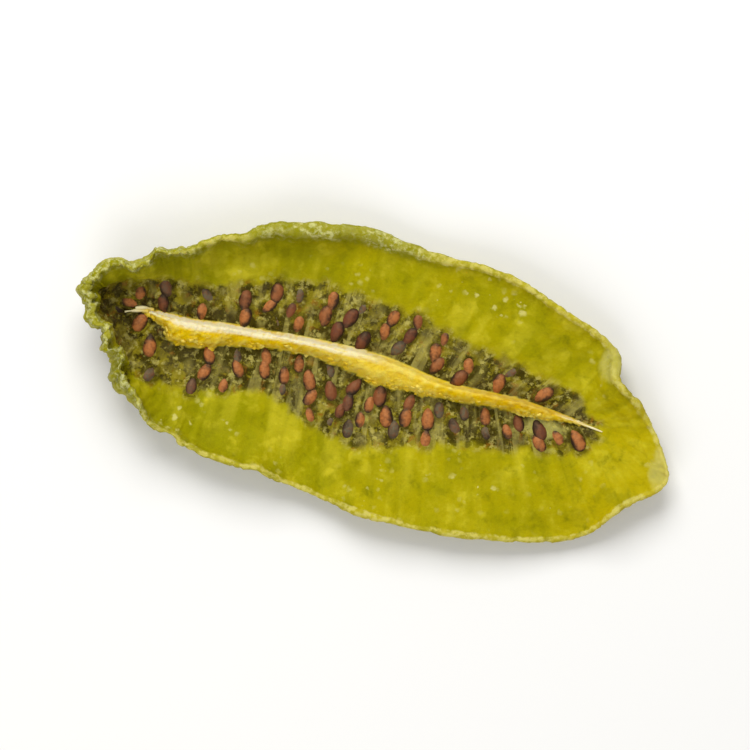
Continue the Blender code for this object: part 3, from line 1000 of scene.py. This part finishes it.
def coreColour(tree, place, mask):  # gold and sugary, with painted shade at its near foot and in its hollows, and a cream crest that is partly a painted highlight
    tone = paints(corePaint)
    x = partsOf(tree, place)[0]
    # paler where the crumples and lumps stand up: sugar together with a painted highlight on their
    # tops
    colour = mixColour(tree, ease(tree, mask["crumple"], -0.10, 0.16), tone["gold"], tone["pale"])
    sugarAndHighlight = ease(tree, mask["lumps"], 0.06, 0.22, 0.0, 0.6)
    colour = mixColour(tree, sugarAndHighlight, colour, tone["pale"])
    middle = ease(tree, calc(tree, "ABSOLUTE", plus(tree, x, 1.0)), 3.0, 9.0, 1.0, 0.0)
    colour = mixColour(tree, times(tree, middle, 0.4), colour, tone["pale"])
    # painted shade: darker at the near foot, in the low places of the lumps and fibres, and on the
    # top towards the pointed end
    foot = times(tree, ease(tree, mask["slope"], 0.60, 1.0),
                 ease(tree, cloudy(tree, place, fleshPattern["coreFoot"]), 0.35, 0.55),
                 plus(tree, 1.0, times(tree, middle, -0.7)))
    towardsPoint = times(tree, ease(tree, x, 5.0, 12.0, 0.0, 0.42),
                         ease(tree, mask["slope"], 0.6, 0.2))
    shade = plus(tree, ease(tree, mask["lumps"], 0.0, -0.18, 0.0, 0.35), times(tree, foot, 0.6),
                 ease(tree, mask["fibre"], 0.0, -0.16, 0.0, 0.2), towardsPoint)
    colour = mixColour(tree, limited(tree, shade), colour, tone["deep"])
    # the cream crest: cream tissue with a painted highlight along its lit edge, strongest where
    # fibres and lumps stand up
    creamAndHighlight = plus(tree, mask["fibre"], times(tree, mask["lumps"], 0.7))
    creamAndHighlight = ease(tree, creamAndHighlight, -0.20, 0.02, 0.35, 1.0)
    return mixColour(tree, times(tree, mask["crest"], creamAndHighlight), colour, tone["cream"])


def rimColour(tree, place, mask, colour, icy):
    # a thin pale line along the edge, and crystals where the edge is turned to the top, paler on
    # the tops of their bumps as a painted highlight
    tone, scale = paints(fleshPaint), fleshPattern
    bead = cloudy(tree, place, scale["bead"], 3.0, 0.6)
    edge = plus(tree, mask["edge"], times(tree, bead, 0.5))
    line = times(tree, ease(tree, edge, 0.44, 0.22), ease(tree, bead, 0.60, 0.40, 0.25, 0.9))
    colour = mixColour(tree, line, colour, tone["rim"])
    crust = plus(tree, patched(tree, wobbled(tree, place, 0.7, 1.2), patches["frost"]),
                 ease(tree, cloudy(tree, place, scale["crust"], 2.0), 0.50, 0.64, 0.12, 0.6),
                 times(tree, mask["gather"], 0.95))
    # whitest where the same noise raises the bump: the crystals' own pale colour with a painted
    # highlight on the bump tops
    white = times(tree, ease(tree, icy, 0.46, 0.62), limited(tree, crust))
    frost = mixColour(tree, white, tone["frostGreen"], tone["frost"])
    return mixColour(tree, times(tree, mask["frost"], fleshShare["frost"]), colour, frost)


def fleshMaterial():
    material, tree, shader = newMaterial("driedFlesh")
    tone, scale, share, look = paints(fleshPaint), fleshPattern, fleshShare, fleshLook
    mask = {name: attributeOf(tree, name) for name in (
        "band", "wall", "socket", "ghost", "core", "crest", "slope", "edge", "frost", "gather",
        "stripe", "spread", "beside", "crease", "rib", "fibre", "crumple", "lumps")}
    place = objectPlace(tree)
    colour = fleshColour(tree, place, mask)
    gel = gelColour(tree, place, mask)
    colour = mixColour(tree, times(tree, mask["band"], share["band"]), colour, gel)
    palePatch = patched(tree, wobbled(tree, place, 1.0, 0.9), patches["pale"])
    palePatch = times(tree, palePatch, share["palePatch"])
    colour = mixColour(tree, palePatch, colour, tone["palePatch"])
    # painted shadow: near-black in the hollows at the gathered end
    hollowShade = patched(tree, wobbled(tree, place, 1.1, 1.6), patches["hollowShade"])
    hollowShade = times(tree, hollowShade, ease(tree, cloudy(tree, place, scale["hollowShade"], 3.0, 0.6), 0.40, 0.60),
                 share["hollowShade"])
    colour = mixColour(tree, hollowShade, colour, tone["hollowShade"])
    colour = mixColour(tree, mask["core"], colour, coreColour(tree, place, mask))
    icy = cloudy(tree, place, scale["ice"], 5.0, 0.7)
    colour = rimColour(tree, place, mask, colour, icy)

    low, high = look["roughnessRange"]
    gloss = ease(tree, cloudy(tree, place, scale["gloss"]), 0.3, 0.7, low, high)
    gloss = ease(tree, mask["band"], 0.0, 1.0, gloss, look["gelRoughness"])
    gloss = ease(tree, mask["core"], 0.0, 1.0, gloss, look["coreRoughness"])
    plug(tree, shader.inputs["Roughness"], gloss)

    closeness, depth = look["skinGrain"]
    normal = bumped(tree, cloudy(tree, place, closeness, 5.0, 0.65), depth, 0.7)
    closeness, depth = look["gelGrain"]
    gelSkin = times(tree, cloudy(tree, place, closeness, 4.0, 0.6), mask["band"])
    normal = bumped(tree, gelSkin, depth, 0.7, normal)
    normal = bumped(tree, times(tree, icy, mask["frost"]), look["iceDepth"], 0.8, normal)
    closeness, depth = look["coreGrain"]
    coreSkin = times(tree, cloudy(tree, place, closeness, 3.0, 0.6), mask["core"])
    normal = bumped(tree, coreSkin, depth, 0.9, normal)
    setLook(tree, shader, look, colour, normal)
    return material


seedPaint = {
    "salmon": (169, 102, 52),
    "brown": (116, 62, 30),
    "maroon": (98, 50, 34),
    # the painted shade at the seeds' edges
    "dark": (44, 27, 19),
    "grey": (90, 80, 60),
}

seedLook = {
    "roughness": 0.46,
    "specular": 0.38,
    "specularTint": (1.0, 0.86, 0.55, 1.0),
    "grainDepth": 0.00012,
    "salmonFrom": (0.20, 0.42),  # shares of the seeds, from maroon to salmon
    "greyBelow": (0.18, 0.13),
    "lean": 0.30,  # each seed is lit on its own side
    "blotched": 1.9,
    "lit": (0.28, 0.98),
    "taper": 0.22,
    "point": 0.07,
    "segments": 12,
    "rings": 8,
    "hiddenShare": 0.15,  # seeds that lie deeper and greyer
    "hiddenDepth": 0.12,
    "uneven": 0.05,  # how far the others lie deeper or higher, in mm
    "tilt": 0.15,  # radians about their long way
    "draw": 19,
}

ghostRule = {  # seeds under the gel, between the ranks of the others
    "pitch": 1.9,
    "gaps": (0.7, 1.4),  # shares of the pitch
    "leastPace": 4.0,
    "ranks": 5,
    "firstRank": 0.9,
    "rankPitch": 1.3,
    "jitter": 0.4,
    "lastRank": 0.2,
    "sizes": (0.8, 1.05),
    "twist": 0.35,
    "clear": 0.55,  # room from the seeds that show, in seed lengths
    "draw": 41,
}


def seedMaterial():
    material, tree, shader = newMaterial("driedSeed")
    tone, look = paints(seedPaint), seedLook
    own, top, flank, reach = (attributeOf(tree, name) for name in ("tone", "top", "flank", "reach"))
    place = objectPlace(tree)
    blotch = cloudy(tree, place, 1.1, 3.0, 0.6)
    fine = cloudy(tree, place, 3.2, 4.0, 0.62)
    skin = mixColour(tree, ease(tree, own, *look["salmonFrom"]), tone["maroon"], tone["salmon"])
    skin = mixColour(tree, ease(tree, own, *look["greyBelow"]), skin, tone["grey"])
    skin = mixColour(tree, ease(tree, fine, 0.42, 0.66, 0.0, 0.6), skin, tone["brown"])
    turn = times(tree, own, 40.0)
    lean = plus(tree, times(tree, flank, calc(tree, "SINE", turn)),
                times(tree, reach, calc(tree, "COSINE", turn)))
    # painted light: each seed is lighter on its top and its lit side and dark towards its edges
    height = plus(tree, top, times(tree, lean, look["lean"]),
                  times(tree, calc(tree, "SUBTRACT", blotch, 0.5), look["blotched"]))
    colour = mixColour(tree, ease(tree, height, *look["lit"]), tone["dark"], skin)
    setLook(tree, shader, look, colour, bumped(tree, fine, look["grainDepth"], 0.8))
    return material


def seedTree(material):  # a ball is drawn out to a teardrop and placed on each point
    tree, given, output = newTree("fruitSeeds", (
        ("Length", "Float"), ("Width", "Float"), ("Thickness", "Float"), ("Taper", "Float"),
        ("Point", "Float"), ("Segments", "Int"), ("Rings", "Int")))
    down, side, along = partsOf(tree, tree.nodes.new("GeometryNodeInputPosition").outputs[0])
    narrow = plus(tree, times(tree, along, given["Taper"]), 1.0)
    point = ease(tree, along, -0.3, -0.5, 0.0, given["Point"])  # the end towards the core
    shape = joined(
        tree,
        times(tree, calc(tree, "SUBTRACT", along, point), given["Length"]),
        times(tree, side, narrow, given["Width"]),
        times(tree, down, narrow, given["Thickness"], -1.0),
    )
    seed = ball(tree, given)
    for name, way, factor in (("top", down, -2.0), ("flank", side, 2.0), ("reach", along, 2.0)):
        seed = keepAttribute(tree, seed, name, times(tree, way, factor))
    seed = moved(tree, seed, shape, "Position")
    scatter = addNode(tree, "GeometryNodeInstanceOnPoints", {
        "Points": given["Geometry"], "Instance": smoothed(tree, seed),
        "Rotation": readAttribute(tree, "turn", "QUATERNION"), "Scale": readAttribute(tree, "size"),
    })
    closeTree(tree, scatter.outputs[0], material, output)
    return tree


def seedObject(name, seeds, tree, draw):
    places, turns, sizes, tones = [], [], [], []
    uneven = seedLook["uneven"]
    for seed in seeds:
        tone = draw.random()
        hidden = tone < seedLook["hiddenShare"]
        deep = seedLook["hiddenDepth"] * hidden + draw.uniform(-uneven, uneven)
        tilt = Quaternion((1, 0, 0), draw.gauss(0, seedLook["tilt"]))
        places.append((seed["at"] - seed["turn"].col[2] * (seedRule["sunk"] + deep)) * mm)
        turns.append(seed["turn"].to_quaternion() @ tilt)
        sizes.append(seed["size"])
        tones.append(tone)
    mesh = bpy.data.meshes.new(name)
    mesh.from_pydata(places, [], [])
    addLayer(mesh, "turn", turns, "QUATERNION")
    addLayer(mesh, "size", sizes)
    addLayer(mesh, "tone", tones)
    return runTree(addObject(name, mesh), tree, {
        "Length": seedRule["length"] * mm, "Width": seedRule["width"] * mm,
        "Thickness": seedRule["thickness"] * mm, "Taper": seedLook["taper"],
        "Point": seedLook["point"], "Segments": seedLook["segments"], "Rings": seedLook["rings"],
    })


def ghostFrames(seeds):  # places for seeds that show only through the gel
    rule = ghostRule
    draw = random.Random(rule["draw"])
    clear = rule["clear"] * seedRule["length"]
    jitter = rule["jitter"]
    ghosts = []
    for side in (1, -1):
        for rank in range(rule["ranks"]):
            angle = draw.uniform(0, 0.2)
            while angle < math.tau:
                distance = ridgeFoot(angle) + rule["firstRank"] + rule["rankPitch"] * rank
                distance += draw.uniform(-jitter, jitter)
                size, twist = draw.uniform(*rule["sizes"]), draw.gauss(0, rule["twist"])
                pace = np.hypot(*(np.array(rimPlan(angle + 0.01)) - rimPlan(angle))) / 0.01
                angle += rule["pitch"] / max(rule["leastPace"], pace) * draw.uniform(*rule["gaps"])
                if distance > roundTheRim(form["bandReach"], angle) - rule["lastRank"]:
                    continue
                ghost = seedFrame(angle, distance / rayLength(angle), side, size, twist)
                if all((ghost["at"] - seed["at"]).length > clear for seed in seeds + ghosts):
                    ghosts.append(ghost)
    return ghosts


crumbs = {
    "pitch": 0.28,  # closest two crumbs
    "density": 12.0e6,  # for each square metre of core
    "size": (0.24, 0.56),
    "flat": 0.46,
    "torn": 0.26,  # how far noise pulls them out of round, in mm
    "tornPitch": 2.6,
    "segments": 9,
    "rings": 6,
    "colour": (228, 188, 24),
    "pale": (236, 208, 86),
    "roughness": 0.55,
    "specular": 0.3,
    "subsurface": 0.3,
    "subsurfaceRadius": (0.0006, 0.0005, 0.0002),
    "seed": 5,
}


def crumbMaterial():
    material, tree, shader = newMaterial("coreCrumb")
    place = objectPlace(tree)
    pale = ease(tree, cloudy(tree, place, 0.8), 0.4, 0.6)
    colour = mixColour(tree, pale, paint(*crumbs["colour"]), paint(*crumbs["pale"]))
    setLook(tree, shader, crumbs, colour, bumped(tree, cloudy(tree, place, 9.0), 0.00003, 0.6))
    return material


def crumbTree(material):  # small lumps half sunk along the near foot of the core
    tree, given, output = newTree("coreCrumbs", (
        ("Pitch", "Float"), ("Density", "Float"), ("Smallest", "Float"), ("Largest", "Float"),
        ("Flatness", "Float"), ("Roughness", "Float"), ("Segments", "Int"), ("Rings", "Int"),
        ("Seed", "Int")))
    core, slope, under = (readAttribute(tree, name) for name in ("core", "slope", "under"))
    place = meshPlace(tree)
    patchy = ease(tree, cloudy(tree, place, 0.6), 0.38, 0.56)
    wanted = times(tree, ease(tree, slope, 0.50, 0.85), ease(tree, core, 0.4, 0.9), patchy,
                   calc(tree, "SUBTRACT", 1.0, under))
    scatter = addNode(tree, "GeometryNodeDistributePointsOnFaces", {
        "Mesh": given["Geometry"], "Distance Min": given["Pitch"], "Density Max": given["Density"],
        "Density Factor": calc(tree, "MINIMUM", wanted, 1.0), "Seed": given["Seed"],
    }, distribute_method="POISSON").outputs
    size = addNode(tree, "FunctionNodeRandomValue", {}, data_type="FLOAT")
    ranged = [socket for socket in size.inputs if socket.enabled]
    for k, name in ((0, "Smallest"), (1, "Largest"), (-1, "Seed")):
        plug(tree, ranged[k], given[name])
    made = next(socket for socket in size.outputs if socket.enabled)
    shape = joined(tree, *(times(tree, made, part) for part in (1.25, 0.95, given["Flatness"])))
    lumps = addNode(tree, "GeometryNodeInstanceOnPoints", {
        "Points": scatter["Points"], "Rotation": scatter["Rotation"],
        "Instance": smoothed(tree, ball(tree, given)), "Scale": shape,
    }).outputs[0]
    lumps = addNode(tree, "GeometryNodeRealizeInstances", {0: lumps}).outputs[0]
    torn = scaled(tree, pull(tree, place, crumbs["tornPitch"]), given["Roughness"])
    closeTree(tree, moved(tree, lumps, torn), material, output)
    return tree


def crumbObject(sliceData):
    low, high = crumbs["size"]
    obj = addObject("coreCrumbs", sliceData.copy())
    return runTree(obj, crumbTree(crumbMaterial()), {
        "Pitch": crumbs["pitch"] * mm, "Density": crumbs["density"], "Smallest": low * mm,
        "Largest": high * mm, "Flatness": crumbs["flat"], "Roughness": crumbs["torn"] * 2 * mm,
        "Segments": crumbs["segments"], "Rings": crumbs["rings"], "Seed": crumbs["seed"],
    })


fibres = {
    "radius": 0.17,
    "sides": 8,
    "steps": 9,
    "paths": (  # three places each strand runs by, how high it stands and how thick it is, in mm
        ((-22.8, 1.40), (-24.0, 1.25), (-25.0, 0.80), 0.12, 1.1),
        ((-22.4, 1.60), (-23.3, 1.65), (-24.1, 1.40), 0.05, 1.6),
        ((18.6, 1.15), (20.2, 1.05), (21.5, 0.85), 0.0, 0.7),
    ),
    "rise": 0.04,
    "colour": (232, 220, 168),
    "root": (226, 196, 84),
    "roughness": 0.5,
    "specular": 0.35,
}


def skinUnder(x, y):  # the nearest place on the upper skin, found by trying rays and shares
    angles, shares = np.meshgrid(np.linspace(0, math.tau, 361), np.linspace(0, 0.8, 61))
    flat = skinPoints(angles.ravel(), shares.ravel(), 1)
    return Vector(flat[np.argmin(np.hypot(flat[:, 0] - x, flat[:, 1] - y))])


def fibrePaths():  # strands that lie on the skin and run on past both ends of the core
    paths = []
    for start, middle, end, height, thick in fibres["paths"]:
        path = []
        for step in range(fibres["steps"]):
            t = step / (fibres["steps"] - 1)
            x, y = ((1 - t) ** 2 * a + 2 * t * (1 - t) * b + t * t * c
                    for a, b, c in zip(start, middle, end))
            lift = fibres["rise"] + height * math.sin(math.pi * min(1, 1.2 * t))
            path.append(Vector((x, y, skinUnder(x, y).z + lift)))
        paths.append((path, thick))
    return paths


def fibreMaterial():
    material, tree, shader = newMaterial("coreFibre")
    pale = ease(tree, attributeOf(tree, "tip"), 0.0, 0.6)
    colour = mixColour(tree, pale, paint(*fibres["root"]), paint(*fibres["colour"]))
    grained = cloudy(tree, objectPlace(tree), 8.0)
    setLook(tree, shader, fibres, colour, bumped(tree, grained, 0.00003, 0.6))
    return material


def fibreTree(material):  # knotty tubes that thin out towards their tips
    tree, given, output = newTree("coreFibres", (("Radius", "Float"), ("Sides", "Int")))
    curve = addNode(tree, "GeometryNodeMeshToCurve", {"Mesh": given["Geometry"]}).outputs[0]
    knots = ease(tree, cloudy(tree, meshPlace(tree), 1.4), 0.35, 0.65, 0.6, 1.3)
    size = times(tree, ease(tree, readAttribute(tree, "tip"), 0.3, 1.0, 1.0, 0.45),
                 readAttribute(tree, "thick"), knots)
    curve = addNode(tree, "GeometryNodeSetCurveRadius", {"Curve": curve, "Radius": size}).outputs[0]
    ring = addNode(tree, "GeometryNodeCurvePrimitiveCircle",
                   {"Resolution": given["Sides"], "Radius": given["Radius"]}).outputs[0]
    tube = addNode(tree, "GeometryNodeCurveToMesh",
                   {"Curve": curve, "Profile Curve": ring, "Fill Caps": True})
    if "Scale" in tube.inputs:
        plug(tree, tube.inputs["Scale"], size)
    closeTree(tree, smoothed(tree, tube.outputs[0]), material, output)
    return tree


def fibreObject():
    points, edges, tips, thicks = [], [], [], []
    for path, thick in fibrePaths():
        start = len(points)
        points += [at * mm for at in path]
        tips += [k / (len(path) - 1) for k in range(len(path))]
        thicks += [thick] * len(path)
        edges += [(start + k, start + k + 1) for k in range(len(path) - 1)]
    mesh = bpy.data.meshes.new("coreFibres")
    mesh.from_pydata(points, edges, [])
    addLayer(mesh, "tip", tips)
    addLayer(mesh, "thick", thicks)
    return runTree(addObject("coreFibres", mesh), fibreTree(fibreMaterial()),
                   {"Radius": fibres["radius"] * mm, "Sides": fibres["sides"]})


def cornersOf(mesh):
    flat = np.empty(len(mesh.vertices) * 3, np.float32)
    mesh.vertices.foreach_get("co", flat)
    return flat.reshape(-1, 3)


def fitToSolid(mesh):  # the slice fills the solid's box: a shift, and a stretch of a percent or so
    corners = cornersOf(mesh)
    low, high = corners.min(axis=0), corners.max(axis=0)
    solidLow, solidHigh = (np.array(corner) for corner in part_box("kiwi_slice"))
    scale = (solidHigh - solidLow) / (high - low)
    print("fit", [round(float(value), 4) for value in scale])
    return Matrix.Translation(Vector(solidLow - low * scale)) @ Matrix.Diagonal((*scale, 1.0))


def keepAboveFloor(mesh):
    corners = cornersOf(mesh)
    corners[:, 2] = np.maximum(corners[:, 2], 0)
    mesh.vertices.foreach_set("co", corners.ravel())
    mesh.update()


studio = {
    "roll": 14.2,  # degrees that the slice lies turned clockwise in the picture
    "frameWidth": 0.071,
    "lens": 300,  # a long lens from well above, as the slice is a small part of the photograph
    "sensor": 36,
    "floor": (236, 235, 232),
    "floorSize": 4,
    "floorDrop": 0.00002,
    "floorRoughness": 0.9,
    # places are right, up and towards the camera
    "key": {"power": 1.44, "size": 0.24, "place": (-0.04, 0.26, 0.30)},
    "fill": {"power": 0.68, "size": 0.3, "place": (-0.12, -0.26, 0.32)},
    "worldLight": 0.385,
}


def areaLight(name, power, size, place):
    data = bpy.data.lights.new(name, "AREA")
    data.energy = power
    data.size = size
    light = bpy.data.objects.new(name, data)
    light.location = Matrix.Rotation(math.radians(studio["roll"]), 3, "Z") @ Vector(place)
    light.rotation_euler = (-light.location).to_track_quat("-Z", "Y").to_euler()
    bpy.context.scene.collection.objects.link(light)


def buildStudio():
    scene = bpy.context.scene
    place = (0, 0, -studio["floorDrop"])
    bpy.ops.mesh.primitive_plane_add(size=studio["floorSize"], location=place)
    floor = bpy.context.object
    floor.name = "floor"
    material, _, shader = newMaterial("paleFloor")
    shader.inputs["Base Color"].default_value = paint(*studio["floor"])
    shader.inputs["Roughness"].default_value = studio["floorRoughness"]
    floor.data.materials.append(material)

    areaLight("keyLight", **studio["key"])
    areaLight("fillLight", **studio["fill"])
    world = bpy.data.worlds.new("studioWorld")
    world.use_nodes = True
    sky = world.node_tree.nodes["Background"].inputs
    sky["Color"].default_value = (1, 1, 1, 1)
    sky["Strength"].default_value = studio["worldLight"]
    scene.world = world
    scene.view_settings.view_transform = "Standard"

    lens = bpy.data.cameras.new("camera")
    lens.lens = studio["lens"]
    lens.sensor_width = studio["sensor"]
    lens.clip_start = 0.01
    camera = bpy.data.objects.new("camera", lens)
    camera.location = (0, 0, studio["frameWidth"] * studio["lens"] / studio["sensor"])
    camera.rotation_euler = (0, 0, math.radians(studio["roll"]))
    scene.collection.objects.link(camera)
    scene.camera = camera


def main():
    seeds = seedFrames()
    ghosts = ghostFrames(seeds)
    print("seeds", len(seeds), "and", len(ghosts), "under the gel")
    slicePiece = sliceObject(seeds, ghosts)
    depths = {name: depth * mm for name, depth in relief.items()}
    runTree(slicePiece, reliefTree(fleshMaterial()), depths)
    print("slice", len(slicePiece.data.polygons), "faces")
    crumbPiece = crumbObject(slicePiece.data)
    fibrePiece = fibreObject()
    print("crumbs", len(crumbPiece.data.polygons), "faces, fibres", len(fibrePiece.data.polygons))

    draw = random.Random(seedLook["draw"])
    tree = seedTree(seedMaterial())
    topSeeds, underSeeds = (
        seedObject(name, [seed for seed in seeds if seed["side"] == side], tree, draw)
        for name, side in (("topSeeds", 1), ("undersideSeeds", -1)))
    print("seed faces", len(topSeeds.data.polygons) + len(underSeeds.data.polygons))

    fit = fitToSolid(slicePiece.data)
    slots = {slicePiece: "flesh", crumbPiece: "flesh", fibrePiece: "flesh",
             topSeeds: "seeds", underSeeds: "seeds"}
    for piece, slot in slots.items():
        piece.data.transform(fit)
        keepAboveFloor(piece.data)
        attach(piece, "root")
    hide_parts("kiwi_slice")
    buildStudio()


main()
